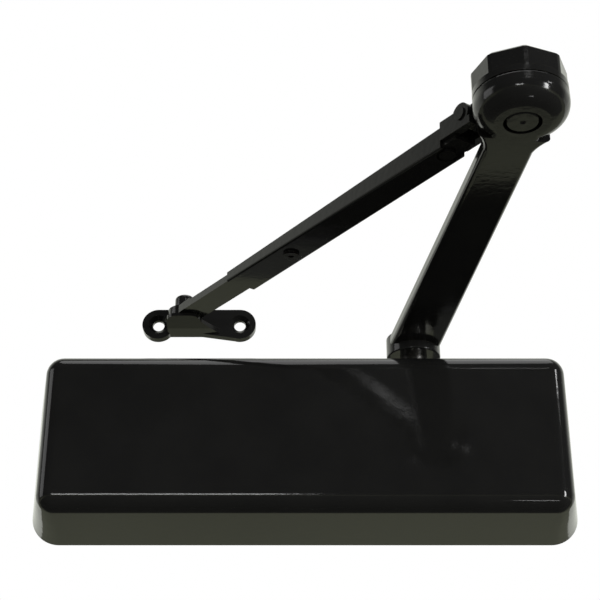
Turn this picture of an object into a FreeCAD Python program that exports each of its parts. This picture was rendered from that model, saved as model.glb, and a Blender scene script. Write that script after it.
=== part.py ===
import FreeCAD, Part
import math
import os
import re

import Sketcher

# A surface-mounted door closer with a two-piece arm. Millimetres, +Z up.
# X runs along the closer, the door's face is the plane Y = 0 and the closer stands out towards -Y.
# The origin is the centre of the mounting face. At rest the door is shut and the spring is at its longest.

App = FreeCAD
doc = App.newDocument("DoorCloser")

# ---------------------------------------------------------------- driving dimensions
DIMENSIONS = {
    # cover
    "cover_length": 320.0, "cover_wall": 2.5, "cover_end_draft": 11.9, "cover_side_draft": 3.9,
    "cover_rim_radius": 17.0, "cover_face_radius": 10.0, "cover_edge_radius": 10.0, "notch_clearance": 5.0,
    # room between the cover and what it hides
    "barrel_standoff": 4.5, "front_room": 2.0, "gland_room": 2.7, "foot_room": 7.65,
    "left_end_room": 22.0, "right_end_room": 23.3,
    # cast body
    "bore_radius": 19.0, "body_wall": 5.0, "base_thickness": 9.0, "spine_drop": 4.0, "spine_inset": 6.0,
    "mounting_hole_radius": 3.6, "foot_half_length": 9.0, "foot_margin": 10.0, "foot_inset": 13.0,
    # cover fixing
    "cover_screw_inset": 23.0, "post_depth": 16.0, "post_half_length": 6.0, "post_gap": 0.4,
    "cover_screw_radius": 1.7, "cover_screw_head_radius": 3.8, "cover_screw_head_height": 2.4,
    "cover_screw_length": 12.0, "cover_screw_play": 0.5, "cover_screw_setback": 2.0, "spot_face_drop": 1.5,
    "hook_depth": 3.0, "hook_gap": 0.5, "hook_reach": 4.5, "hook_land": 1.0,
    # pinion, bearings and glands
    "tooth_module": 1.75, "tooth_count": 11.0, "rack_addendum": 1.1, "root_gap": 0.3, "backlash": 0.12,
    "journal_radius": 8.0, "boss_bore_gap": 1.625, "boss_wall": 8.0, "bearing_setback": 1.0,
    "bearing_length": 12.0, "seal_length": 4.0, "seal_lip_wall": 2.0, "gland_neck": 4.0, "gland_overhang": 3.0,
    "gland_flange_height": 3.0, "spanner_hole_radius": 1.3, "spanner_hole_depth": 1.6, "running_gap": 0.04,
    "shaft_tail": 3.5, "square_step": 4.0, "rack_margin": 8.0,
    # piston, spring and end plugs
    "stroke_angle": 175.0, "slot_margin": 2.5, "piston_head": 16.0,
    "end_gap": 0.5, "plug_length": 12.0, "plug_overhang": 3.0, "plug_flange": 3.0, "plug_bevel": 0.6,
    "seal_ring_radius": 1.5, "key_socket_radius": 6.0, "key_socket_depth": 6.0,
    "spring_wire_radius": 2.75, "spring_gap": 0.65, "spring_pitch": 10.4,
    "seat_thickness": 7.0, "seat_travel": 4.5, "power_screw_radius": 5.0,
    "power_head_radius": 8.0, "power_head_height": 5.0, "power_key_width": 6.0, "check_ball_radius": 2.5,
    "check_seat_step": 0.9, "check_hole_gap": 0.7, "check_plug_length": 5.0, "check_depth": 11.2,
    # regulating valves
    "valve_row_step": 37.5, "valve_radius": 3.0, "valve_head_radius": 4.2, "valve_head_height": 3.0,
    "valve_length": 13.0, "valve_step": 13.0, "valve_ring_radius": 0.42, "valve_groove_setback": 5.0,
    "valve_slot_width": 1.2, "valve_slot_depth": 1.4, "valve_block_wall": 4.0,
    # main arm
    "arm_length": 244.0, "arm_angle": 82.56, "arm_gap": 5.85, "arm_rise": 5.0, "arm_thickness": 8.0,
    "arm_root_width": 30.2, "arm_tip_width": 23.0, "arm_edge_radius": 2.4, "hub_radius": 16.0,
    "hub_edge_radius": 0.8, "web_radius": 24.0,
    "square_gap": 0.05, "arm_screw_radius": 4.0, "arm_screw_head_radius": 6.5, "arm_screw_head_height": 4.2,
    "arm_screw_depth": 16.0, "arm_key_width": 6.0, "arm_key_depth": 2.4, "arm_washer_radius": 9.5,
    "arm_washer_thickness": 1.6, "arm_washer_gap": 0.2,
    # elbow
    "dome_radius": 21.9, "dome_lift": 5.0, "dome_height": 13.2, "dome_round": 9.0, "dome_rim_round": 0.8,
    "nut_room": 1.2, "dome_recess_depth": 6.6, "elbow_stud_radius": 6.0, "bush_wall": 2.0,
    "elbow_nut_radius": 7.6, "elbow_thread_radius": 4.0, "elbow_nut_height": 4.6, "nut_floor": 1.6,
    "nut_bevel": 0.6, "nut_dimple_radius": 1.5, "nut_play": 0.4,
    "spring_washer_height": 1.2, "spring_washer_gap": 0.2, "seam_gap": 0.3, "thrust_washer_radius": 14.0,
    "thrust_washer_height": 1.0, "washer_bore_gap": 0.1, "cap_height": 14.6, "cap_band_height": 3.2,
    "cap_step": 0.1, "cap_flat_depth": 1.4, "cap_turn": 11.1, "cap_chamfer": 1.6, "stud_rise": 7.8,
    # knuckle
    "ear_room": 4.5, "knuckle_rise": 6.8, "lug_width": 8.0, "lug_radius": 5.4, "lug_drop": 6.5,
    "lug_root_width": 11.0, "lug_root_length": 1.6, "lug_root_rise": 7.2, "knuckle_pin_radius": 2.6,
    "knuckle_pin_head_radius": 3.3, "knuckle_pin_head": 0.9, "pin_gap": 0.05, "ear_radius": 5.6,
    "ear_drop": 7.4, "ear_foot": 6.5, "ear_foot_height": 4.0, "ear_thickness": 4.2, "ear_gap": 0.3,
    "heel_rise": 2.5,
    "knuckle_tilt_room": 0.6, "knuckle_length": 16.0, "knuckle_shank": 26.0, "shank_drop": 1.0,
    # forearm
    "channel_drop": 10.7, "channel_start_width": 15.0, "channel_end_width": 19.5,
    "channel_start_height": 11.0, "channel_end_height": 5.75, "channel_wall": 1.5,
    "channel_edge_radius": 1.2, "boss_notch_radius": 5.6, "rivet_setback": 3.6,
    "rivet_radius": 3.0, "rivet_head_radius": 4.2, "bar_gap": 0.15, "bar_side_gap": 0.5,
    "bar_thickness": 4.4, "bar_overlap": 110.0, "bar_showing": 53.0,
    "eye_setback": 14.0, "eye_thickness": 5.6, "eye_radius": 10.0, "eye_room": 0.4, "eye_neck_step": 0.6,
    "clamp_setback": 53.0, "clamp_screw_radius": 2.5, "clamp_head_radius": 4.4, "clamp_head_height": 1.6,
    "clamp_nut_side": 10.0, "clamp_nut_height": 3.0, "clamp_key_width": 3.0, "clamp_gap": 0.4,
    "bar_travel_in": 20.0, "bar_travel_out": 25.0,
    # frame shoe
    "shoe_pivot_offset": 74.4, "shoe_pivot_lead": 8.4, "shoe_rise": 9.6,
    "shoe_hole_spacing": 50.8, "shoe_hole_radius": 3.6, "shoe_sink_radius": 6.2, "shoe_plate": 5.0,
    "shoe_lobe_radius": 10.0, "block_half_length": 10.5, "block_margin": 10.4,
    "block_drop": 6.6, "block_height": 4.2, "block_land": 12.5, "block_undercut": 2.2, "block_corner": 6.5,
    "ramp_length": 15.0, "ramp_drop": 1.2, "ramp_tip": 0.5, "shoe_stud_radius": 4.5,
    "shoe_stud_head_radius": 6.0, "shoe_stud_head_height": 9.4, "shoe_stud_head_round": 2.4, "stack_gap": 0.3,
}

# ---------------------------------------------------------------- sizes that follow from the others
DERIVED = {
    # the cover clears the body by its named rooms
    "axis_depth": "barrel_standoff + body_wall + bore_radius",
    "cover_depth": "axis_depth + bore_radius + body_wall + front_room + cover_wall",
    "bearing_start": "bore_radius + bearing_setback",
    "boss_half_height": "bearing_start + bearing_length + seal_length + gland_neck",
    "cover_height": "2 * (boss_half_height + gland_flange_height + gland_room + cover_wall"
                    " + cover_side_draft * axis_depth / cover_depth)",
    # the body is laid out from the cover's ends
    "pinion_tip": "tooth_module * (tooth_count / 2 + 1)",
    "rack_stroke": "tooth_module * tooth_count / 2 * stroke_angle * pi / 180",
    "body_left": "cover_length / 2 - left_end_room",
    "body_right": "cover_length / 2 - right_end_room",
    "piston_right": "body_right - plug_length - end_gap",
    "slot_right": "piston_right - piston_head",
    "pinion_offset": "slot_right - rack_stroke - slot_margin - pinion_tip",
    "piston_left": "pinion_offset - pinion_tip - slot_margin - piston_head",
    "seat_left": "-body_left + plug_length + end_gap",
    "power_screw_reach": "end_gap + 2 * seat_thickness + 2 * seat_travel",
    "hole_spacing_long": "2 * (body_left - foot_inset)",
    "hole_spacing_high": "cover_height - 2 * (cover_wall + foot_room + foot_margin)",
    "foot_half_height": "hole_spacing_high / 2 + foot_margin",
    "cover_screw_spacing": "hole_spacing_long - 2 * cover_screw_inset",
    "spine_half_height": "bore_radius + body_wall - spine_drop",
    "boss_bore_radius": "pinion_tip + boss_bore_gap",
    "boss_radius": "boss_bore_radius + boss_wall",
    "rack_half_height": "bearing_start - rack_margin",
    "plug_flange_radius": "bore_radius + plug_overhang",
    "check_hole_radius": "check_ball_radius + check_hole_gap",
    "valve_row_offset": "pinion_offset + valve_row_step",
    "valve_block_drop": "bore_radius + body_wall + valve_length",
    # the arms stand on each other, from the top of the cover upwards
    "square_side": "2 * journal_radius - square_step",
    "arm_bottom": "cover_height / 2 + arm_gap",
    "arm_level": "arm_bottom + arm_rise",
    "arm_top": "arm_level + arm_thickness",
    "dome_bottom": "arm_bottom + dome_lift",
    "dome_top": "dome_bottom + dome_height",
    "recess_radius": "elbow_nut_radius + nut_room",
    "recess_top": "dome_bottom + dome_recess_depth",
    "elbow_bush_radius": "elbow_stud_radius + bush_wall",
    "washer_floor": "dome_top - thrust_washer_height - seam_gap",
    "cap_bottom": "dome_top + seam_gap",
    "cap_top": "dome_top + cap_height",
    "stud_top": "dome_top + stud_rise",
    "washer_bottom": "recess_top - spring_washer_height - spring_washer_gap",
    "nut_top": "washer_bottom - nut_play",
    "nut_bottom": "nut_top - elbow_nut_height",
    "knuckle_level": "dome_top + knuckle_rise",
    "knuckle_distance": "dome_radius + ear_room + ear_radius",
    "ear_inside": "lug_width / 2 + ear_gap",
    "ear_outside": "ear_inside + ear_thickness",
    "channel_start": "knuckle_distance + knuckle_length",
    "rivet_distance": "channel_start + rivet_setback",
    "shank_end": "channel_start + knuckle_shank",
    "shank_top": "knuckle_level - shank_drop",
    "channel_bottom": "knuckle_level - channel_drop",
    "channel_floor": "channel_bottom + channel_wall",
    "bar_bottom": "channel_floor + bar_gap",
    "bar_top": "bar_bottom + bar_thickness",
    # the forearm reaches from the elbow to the shoe
    "shoe_pivot_depth": "shoe_plate + eye_radius + eye_room",
    "elbow_right": "pinion_offset + arm_length * cos(arm_angle)",
    "elbow_front": "axis_depth + arm_length * sin(arm_angle)",
    "forearm_reach": "sqrt((elbow_right + shoe_pivot_offset) ^ 2 + (elbow_front - shoe_pivot_depth) ^ 2)",
    "bar_tip": "forearm_reach - eye_setback",
    "channel_end": "bar_tip - bar_showing",
    "bar_tail": "channel_end - bar_overlap",
    "clamp_distance": "channel_end - clamp_setback",
    "shoe_level": "knuckle_level + shoe_rise",
    "shoe_centre_offset": "shoe_pivot_offset - shoe_pivot_lead",
    "block_front": "shoe_pivot_depth + block_margin",
    "block_bottom": "shoe_level - block_drop",
    "block_top": "block_bottom + block_height",
    "eye_bottom": "block_top + stack_gap",
    "stud_head_bottom": "eye_bottom + eye_thickness + stack_gap",
}

sheet = doc.addObject("Spreadsheet::Sheet", "Sizes")
CELLS = {name: str(value) for name, value in DIMENSIONS.items()}
CELLS.update({name: "=" + formula for name, formula in DERIVED.items()})
for row, (name, content) in enumerate(CELLS.items(), start=1):
    sheet.set(f"A{row}", name)
    sheet.setAlias(f"B{row}", name)
    sheet.set(f"B{row}", content)
doc.recompute()

nodes = []


# ---------------------------------------------------------------- small tools
def size(name):
    """One size, driving or derived, read from the sheet."""
    return float(getattr(sheet, name))


def sized(expression):
    """The expression with every size's name pointed at the sheet."""
    return re.sub(r"(?<![\w.])([a-z]+_[a-z_]+)(?!\w*\()", r"Sizes.\1", expression)


def bind(item, **expressions):
    """Tie properties of an object to the sheet."""
    for name, expression in expressions.items():
        item.setExpression(name, sized(expression))


TURNS = {
    "Z": App.Rotation(),
    "-Z": App.Rotation(App.Vector(1, 0, 0), 180),
    "X": App.Rotation(App.Vector(0, 1, 0), 90),
    "-X": App.Rotation(App.Vector(0, 1, 0), -90),
    "Y": App.Rotation(App.Vector(1, 0, 0), -90),
    "-Y": App.Rotation(App.Vector(1, 0, 0), 90),
}
# How far a cutting tool runs past the face it opens, and the length of one that cuts right through.
PAST = "1"
THROUGH = "60"


def put(item, at, along="Z"):
    """Turn an object's own Z axis along one direction and tie its place to the sheet."""
    item.Placement = App.Placement(App.Vector(), TURNS[along])
    for axis, expression in zip("xyz", at):
        item.setExpression(f"Placement.Base.{axis}", sized(expression))
    return item


def cylinder(name, radius, height, at=("0", "0", "0"), along="Z"):
    item = doc.addObject("Part::Cylinder", name)
    bind(item, Radius=radius, Height=height)
    return put(item, at, along)


def cone(name, low, high, height, at=("0", "0", "0"), along="Z"):
    item = doc.addObject("Part::Cone", name)
    bind(item, Radius1=low, Radius2=high, Height=height)
    return put(item, at, along)


def ring(name, centre_radius, wire_radius, at=("0", "0", "0"), along="Z"):
    item = doc.addObject("Part::Torus", name)
    bind(item, Radius1=centre_radius, Radius2=wire_radius)
    return put(item, at, along)


def box(name, low, high):
    """A box between two corners, each given as three expressions."""
    item = doc.addObject("Part::Box", name)
    for side, first, last in zip(("Length", "Width", "Height"), low, high):
        item.setExpression(side, sized(f"({last}) - ({first})"))
    return put(item, low)


def prism(name, sides, across, height, at=("0", "0", "0"), along="Z"):
    """A regular prism, given by the distance across its flats."""
    item = doc.addObject("Part::Prism", name)
    item.Polygon = sides
    bind(item, Circumradius=f"({across}) / 2 / cos(180 / {sides})", Height=height)
    return put(item, at, along)


def taper(name, start, end, start_width, end_width, bottoms, tops):
    """A bar along X that narrows; bottoms and tops give its levels at the start and at the end."""
    item = doc.addObject("Part::Wedge", name)
    bind(item, Ymin=start, Ymax=end, Zmin=bottoms[0], Z2min=bottoms[1], Zmax=tops[0], Z2max=tops[1])
    bind(item, Xmin=f"-({start_width}) / 2", Xmax=f"({start_width}) / 2")
    bind(item, X2min=f"-({end_width}) / 2", X2max=f"({end_width}) / 2")
    item.Placement = App.Placement(App.Vector(), App.Rotation(App.Vector(0, 0, 1), -90))
    return item


def join(name, *parts):
    item = doc.addObject("Part::MultiFuse", name)
    item.Shapes = list(parts)
    item.Refine = False
    return item


def shared(name, *parts):
    """What several forms have in common."""
    item = doc.addObject("Part::MultiCommon", name)
    item.Shapes = list(parts)
    item.Refine = False
    return item


def cut(name, base, *tools):
    """Cut one or more tools from a base."""
    item = doc.addObject("Part::Cut", name)
    item.Base = base
    item.Tool = tools[0] if len(tools) == 1 else join(name + "Tools", *tools)
    item.Refine = False
    return item


def soften(name, base, pick, kind="Part::Fillet"):
    """Round or bevel the edges for which pick gives a size, or a pair of sizes."""
    doc.recompute()
    chosen = []
    for number, edge in enumerate(base.Shape.Edges, start=1):
        found = pick(edge)
        if found:
            first, last = found if isinstance(found, tuple) else (found, found)
            chosen.append((number, first, last))
    item = doc.addObject(kind, name)
    item.Base = base
    item.Edges = chosen
    return item


def solid_of(name, shape):
    """A document object that holds a shape made with Part's own functions."""
    item = doc.addObject("Part::Feature", name)
    item.Shape = shape
    return item


def keep(label, item, placement=None):
    """Name a finished sub-part, so that it is written as a node of its own."""
    if placement is not None:
        item.Placement = placement
    item.Label = label
    nodes.append(item)
    return item


def outline(sketch, corners):
    """Join corners with straight lines and tie each corner to the sheet."""
    count = len(corners)
    spread = [App.Vector(math.cos(2 * math.pi * i / count), math.sin(2 * math.pi * i / count), 0)
              for i in range(count)]
    for i in range(count):
        sketch.addGeometry(Part.LineSegment(spread[i], spread[(i + 1) % count]), False)
    for i in range(count):
        sketch.addConstraint(Sketcher.Constraint("Coincident", i, 2, (i + 1) % count, 1))
    for i, (across, up) in enumerate(corners):
        for kind, expression in (("DistanceX", across), ("DistanceY", up)):
            number = sketch.addConstraint(Sketcher.Constraint(kind, -1, 1, i, 1, 1.0))
            sketch.setExpression(f"Constraints[{number}]", sized(expression))


def origin_feature(body, role):
    return next(item for item in body.Origin.OriginFeatures if item.Role == role)


def turned(name, corners, at, along="Z"):
    """A turned piece: corners are (radius, height) pairs, spun about the body's own Z axis."""
    body = doc.addObject("PartDesign::Body", name)
    sketch = body.newObject("Sketcher::SketchObject", name + "Profile")
    sketch.AttachmentSupport = [(origin_feature(body, "XZ_Plane"), "")]
    sketch.MapMode = "FlatFace"
    outline(sketch, corners)
    spin = body.newObject("PartDesign::Revolution", name + "Spin")
    spin.Profile = sketch
    spin.ReferenceAxis = (sketch, ["V_Axis"])
    spin.Angle = 360
    return put(body, at, along)


# ---------------------------------------------------------------- frames of the moving pieces
pinion_place = App.Vector(size("pinion_offset"), -size("axis_depth"), 0)
arm_frame = App.Placement(pinion_place, App.Rotation(App.Vector(0, 0, 1), -size("arm_angle")))
elbow_place = App.Vector(size("elbow_right"), -size("elbow_front"), 0)
shoe_place = App.Vector(-size("shoe_pivot_offset"), -size("shoe_pivot_depth"), 0)
reach_line = shoe_place.sub(elbow_place)
forearm_yaw = math.degrees(math.atan2(reach_line.y, reach_line.x))
elbow_frame = App.Placement(elbow_place, App.Rotation(App.Vector(0, 0, 1), forearm_yaw))

# The bar inside the forearm hangs below the knuckle pin and rises until it meets the shoe's eye.
bar_middle_drop = size("knuckle_level") - size("bar_bottom") - size("bar_thickness") / 2
run = size("forearm_reach") - size("knuckle_distance")
climb = size("eye_bottom") + size("eye_thickness") / 2 - size("knuckle_level")
forearm_rise = math.degrees(math.atan2(climb, run) + math.asin(bar_middle_drop / math.hypot(run, climb)))
knuckle_point = App.Vector(size("knuckle_distance"), 0, size("knuckle_level"))
rise_turn = App.Placement(App.Vector(), App.Rotation(App.Vector(0, 1, 0), -forearm_rise), knuckle_point)
forearm_frame = elbow_frame.multiply(rise_turn)


# ---------------------------------------------------------------- cover
def drafted_box(name, inset, past_rim):
    """A box that narrows towards its face; the hollow one is inset by the wall and runs past the rim."""
    item = doc.addObject("Part::Wedge", name)
    bind(item, Ymin=inset, Ymax=f"cover_depth + {past_rim}")
    lean = f"(cover_depth - {inset}) / cover_depth"
    face_end = f"cover_length / 2 - cover_end_draft * {lean} - {inset}"
    face_side = f"cover_height / 2 - cover_side_draft * {lean} - {inset}"
    rim_end = f"cover_length / 2 - {inset} + cover_end_draft * {past_rim} / cover_depth"
    rim_side = f"cover_height / 2 - {inset} + cover_side_draft * {past_rim} / cover_depth"
    bind(item, Xmin=f"-({face_end})", Xmax=face_end, Zmin=f"-({face_side})", Zmax=face_side)
    bind(item, X2min=f"-({rim_end})", X2max=rim_end, Z2min=f"-({rim_side})", Z2max=rim_side)
    return put(item, ("0", "-cover_depth", "0"))


def cover_edges(inset):
    """Rounding of the cover: the four corners grow from the face to the rim, the face's edges are even."""
    front = -size("cover_depth") + inset + 0.01

    def pick(edge):
        low, high = edge.BoundBox.YMin, edge.BoundBox.YMax
        if high < front:
            return size("cover_edge_radius") - inset
        if high - low > size("cover_depth") / 2:
            starts_at_face = edge.valueAt(edge.FirstParameter).y < edge.valueAt(edge.LastParameter).y
            pair = (size("cover_face_radius") - inset, size("cover_rim_radius") - inset)
            return pair if starts_at_face else pair[::-1]
        return None

    return pick


COVER_SCREW_Y = "-post_depth / 2 - cover_screw_setback"
SPOT_FACE = "cover_height / 2 - spot_face_drop"


def make_cover():
    outside = soften("CoverOutside", drafted_box("CoverForm", "0", "0"), cover_edges(0))
    hollow = drafted_box("CoverHollow", "cover_wall", PAST)
    inside = soften("CoverInside", hollow, cover_edges(size("cover_wall")))
    shell = cut("CoverShell", outside, inside)
    half = "(journal_radius + notch_clearance)"
    middle = ("pinion_offset", "-axis_depth", "cover_height / 4")
    notch = box("CoverNotch", (f"pinion_offset - {half}", "-axis_depth", "cover_height / 4"),
                (f"pinion_offset + {half}", PAST, "cover_height"))
    openings = [notch, cylinder("CoverNotchEnd", half, "cover_height", middle)]
    hooks = []
    for side in ("-", ""):
        screw_x = f"{side}cover_screw_spacing / 2"
        x = f"{side}hole_spacing_long / 2"
        hole_floor = f"{SPOT_FACE} - cover_screw_length"
        openings.append(cylinder("CoverScrewHole", "cover_screw_radius + cover_screw_play",
                                 "cover_screw_length + 1", (screw_x, COVER_SCREW_Y, hole_floor)))
        openings.append(cylinder("CoverSpotFace", "cover_screw_head_radius + cover_screw_play",
                                 "cover_wall + 1", (screw_x, COVER_SCREW_Y, SPOT_FACE)))
        wall = "-cover_height / 2 + cover_wall"
        hooks.append(box("CoverHook", (f"{x} - post_half_length", "-hook_depth", f"{wall} - 1"),
                         (f"{x} + post_half_length", "-hook_gap", f"{wall} + hook_reach")))
    keep("cover", cut("CoverDone", join("CoverWithHooks", shell, *hooks), *openings))


def make_cover_screws():
    screws = []
    for side in ("-", ""):
        x = f"{side}cover_screw_spacing / 2"
        head = cylinder("CoverScrewHead", "cover_screw_head_radius", "cover_screw_head_height",
                        (x, COVER_SCREW_Y, SPOT_FACE))
        shank = cylinder("CoverScrewShank", "cover_screw_radius", "cover_screw_length + 0.1",
                         (x, COVER_SCREW_Y, f"{SPOT_FACE} - cover_screw_length"))
        slot = box("CoverScrewSlot",
                   (f"{x} - cover_screw_head_radius - 1", f"{COVER_SCREW_Y} - 0.5",
                    f"{SPOT_FACE} + cover_screw_head_height / 2"),
                   (f"{x} + cover_screw_head_radius + 1", f"{COVER_SCREW_Y} + 0.5",
                    f"{SPOT_FACE} + cover_screw_head_height + 1"))
        screws.append(cut("CoverScrew", join("CoverScrewBlank", head, shank), slot))
    keep("cover_screws", join("CoverScrews", *screws))


# ---------------------------------------------------------------- cast body
def make_body():
    barrel = cylinder("Barrel", "bore_radius + body_wall", "body_left + body_right",
                      ("-body_left", "-axis_depth", "0"), "X")
    boss = cylinder("PinionBoss", "boss_radius", "2 * boss_half_height",
                    ("pinion_offset", "-axis_depth", "-boss_half_height"))
    spine = box("Spine", ("-body_left + spine_inset", "-axis_depth", "-spine_half_height"),
                ("body_right - spine_inset", "0", "spine_half_height"))
    block_half = "(valve_head_radius + valve_block_wall)"
    block_reach = "(valve_step + valve_block_wall)"
    valve_block = box("ValveBlock",
                      (f"valve_row_offset - {block_half}", f"-axis_depth - {block_reach}", "-valve_block_drop"),
                      (f"valve_row_offset + {block_half}", f"-axis_depth + {block_reach}", "-bore_radius / 2"))
    solids = [barrel, boss, spine, valve_block]
    holes = []
    post_top = "cover_height / 2 - cover_side_draft * post_depth / cover_depth - cover_wall - post_gap"
    for side in ("-", ""):
        x = f"{side}hole_spacing_long / 2"
        screw_x = f"{side}cover_screw_spacing / 2"
        solids.append(box("Foot", (f"{x} - foot_half_length", "-base_thickness", "-foot_half_height"),
                          (f"{x} + foot_half_length", "0", "foot_half_height")))
        solids.append(box("Post", (f"{screw_x} - post_half_length", "-post_depth", "spine_half_height - 4"),
                          (f"{screw_x} + post_half_length", "-hook_land", post_top)))
        solids.append(box("HookKeeper",
                          (f"{x} - post_half_length", "-base_thickness", "-foot_half_height - hook_reach"),
                          (f"{x} + post_half_length", "-hook_depth - hook_gap - hook_land",
                           "-foot_half_height + 1")))
        holes.append(cylinder("PostHole", "cover_screw_radius", "cover_screw_length + 1",
                              (screw_x, COVER_SCREW_Y, f"{SPOT_FACE} - cover_screw_length")))
        for height in ("-", ""):
            holes.append(cylinder("MountingHole", "mounting_hole_radius", "base_thickness + 2",
                                  (x, PAST, f"{height}hole_spacing_high / 2"), "-Y"))
    holes.append(cylinder("Bore", "bore_radius", "body_left + body_right + 2",
                          ("-body_left - 1", "-axis_depth", "0"), "X"))
    holes.append(cylinder("BossBore", "boss_bore_radius", "2 * boss_half_height + 2",
                          ("pinion_offset", "-axis_depth", "-boss_half_height - 1")))
    for number in (-1, 0, 1):
        place = ("valve_row_offset", f"-axis_depth + {number} * valve_step", "-valve_block_drop - 1")
        holes.append(cylinder("ValveHole", "valve_radius + running_gap", "valve_length + 1", place))
        holes.append(cylinder("ValveMouth", "valve_head_radius + 0.3", "valve_head_height + 1", place))
    keep("cylinder_body", cut("CylinderBody", join("BodyBlank", *solids), *holes))


# ---------------------------------------------------------------- pinion shaft, bearings, seals and glands
PRESSURE_ANGLE = math.radians(20)
pitch_radius = size("tooth_module") * size("tooth_count") / 2


def involute_flank(base, tip, steps):
    """Points of an involute from its base circle to the tip, as (radius, angle) pairs."""
    points = []
    for i in range(steps + 1):
        radius = base + (tip - base) * i / steps
        pressure = math.acos(min(1.0, base / radius))
        points.append((radius, math.tan(pressure) - pressure))
    return points


def spline_edge(points):
    curve = Part.BSplineCurve()
    curve.interpolate(points)
    return curve.toShape()


def pinion_teeth():
    """Involute teeth in the arm's frame, one of them pointing at the rack on the row's -Y side."""
    teeth = int(size("tooth_count"))
    base = pitch_radius * math.cos(PRESSURE_ANGLE)
    tip = pitch_radius + size("tooth_module")
    root = pitch_radius - size("rack_addendum") - size("root_gap")
    at_pitch = math.tan(PRESSURE_ANGLE) - PRESSURE_ANGLE
    half_tooth = math.pi / 2 / teeth
    flank = [(radius, half_tooth + at_pitch - turn) for radius, turn in involute_flank(base, tip, 6)]
    edges = []
    for number in range(teeth):
        middle = -math.pi / 2 + math.radians(size("arm_angle")) + 2 * math.pi * number / teeth

        def point(radius, turn):
            return App.Vector(radius * math.cos(middle + turn), radius * math.sin(middle + turn), 0)

        left = [point(radius, turn) for radius, turn in flank]
        right = [point(radius, -turn) for radius, turn in flank]
        foot_left, foot_right = point(root, flank[0][1]), point(root, -flank[0][1])
        next_foot = App.Rotation(App.Vector(0, 0, 1), 360 / teeth).multVec(foot_right)
        gap_middle = App.Rotation(App.Vector(0, 0, 1), 180 / teeth).multVec(point(root, 0))
        edges.append(Part.LineSegment(foot_right, right[0]).toShape())
        edges.append(spline_edge(right))
        edges.append(Part.Arc(right[-1], point(tip, 0), left[-1]).toShape())
        edges.append(spline_edge(left[::-1]))
        edges.append(Part.LineSegment(left[0], foot_left).toShape())
        edges.append(Part.Arc(foot_left, gap_middle, next_foot).toShape())
    return Part.Face(Part.Wire(edges))


def make_pinion():
    half_teeth = size("bearing_start") - 1
    teeth = pinion_teeth().extrude(App.Vector(0, 0, 2 * half_teeth))
    teeth.translate(App.Vector(0, 0, -half_teeth))
    gear = solid_of("PinionTeeth", teeth)
    shaft_bottom = "(boss_half_height + shaft_tail)"
    shaft = cylinder("PinionJournals", "journal_radius", f"arm_bottom + {shaft_bottom}",
                     ("0", "0", f"-{shaft_bottom}"))
    square = prism("ArmSquare", 4, "square_side", "arm_top - arm_bottom - 0.4", ("0", "0", "arm_bottom - 0.1"))
    thread = cylinder("ArmScrewThread", "arm_screw_radius", "arm_screw_depth + 5",
                      ("0", "0", "arm_top - arm_screw_depth"))
    keep("pinion_shaft", cut("PinionShaft", join("PinionBlank", gear, shaft, square), thread), arm_frame)


def make_pinion_supports():
    seal_level = "bearing_start + bearing_length"
    gland_level = f"{seal_level} + seal_length"
    for name, side, along in (("upper", "", "Z"), ("lower", "-", "-Z")):
        def at(level, step="0"):
            return (f"pinion_offset + {step}", "-axis_depth", f"{side}({level})")

        outer = cylinder("BearingShell", "boss_bore_radius", "bearing_length", at("bearing_start"), along)
        inner = cylinder("BearingBore", "journal_radius + running_gap", "bearing_length + 2",
                         at("bearing_start - 1"), along)
        keep(f"{name}_bearing", cut("Bearing", outer, inner))
        outer = cylinder("SealBody", "boss_bore_radius", "seal_length", at(seal_level), along)
        inner = cylinder("SealBore", "journal_radius + running_gap", "seal_length + 2",
                         at(f"{seal_level} - 1"), along)
        lip = cone("SealLip", "boss_bore_radius - seal_lip_wall", "journal_radius + seal_lip_wall / 2",
                   "seal_length / 2 + 0.5", at(f"{seal_level} + seal_length / 2"), along)
        keep(f"{name}_shaft_seal", cut("Seal", outer, inner, lip))
        neck = cylinder("GlandNeck", "boss_bore_radius", "gland_neck + 0.5", at(gland_level), along)
        flange = cylinder("GlandFlange", "boss_bore_radius + gland_overhang", "gland_flange_height",
                          at("boss_half_height"), along)
        hole = cylinder("GlandHole", "journal_radius + 0.4", THROUGH, at(f"{gland_level} - 1"), along)
        spanner_holes = [cylinder("SpannerHole", "spanner_hole_radius", "spanner_hole_depth + 1",
                                  at("boss_half_height + gland_flange_height - spanner_hole_depth",
                                     f"{step} * boss_bore_radius"), along) for step in (-1, 1)]
        keep(f"{name}_gland_nut", cut("Gland", join("GlandBlank", neck, flange), hole, *spanner_holes))


# ---------------------------------------------------------------- piston, check valve, spring and end plugs
def rack_teeth():
    """The rack's teeth in plan, on the pinion's front side, with a gap facing the pinion's front tooth."""
    pitch = math.pi * size("tooth_module")
    tip_line = -(pitch_radius - size("rack_addendum"))
    root_line = -(pitch_radius + size("tooth_module") + size("root_gap"))
    slope = math.tan(PRESSURE_ANGLE)
    half_pitch_width = pitch / 4 - size("backlash")
    half_tip = half_pitch_width - size("rack_addendum") * slope
    half_root = half_pitch_width + (size("tooth_module") + size("root_gap")) * slope
    teeth = []
    for number in range(-2, math.ceil(size("rack_stroke") / pitch) + 1):
        centre = (number + 0.5) * pitch
        corners = [(centre - half_root, root_line - 1), (centre + half_root, root_line - 1),
                   (centre + half_root, root_line), (centre + half_tip, tip_line),
                   (centre - half_tip, tip_line), (centre - half_root, root_line)]
        points = [App.Vector(across, deep, 0) for across, deep in corners]
        teeth.append(Part.Face(Part.makePolygon(points + points[:1])))
    return teeth


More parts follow.
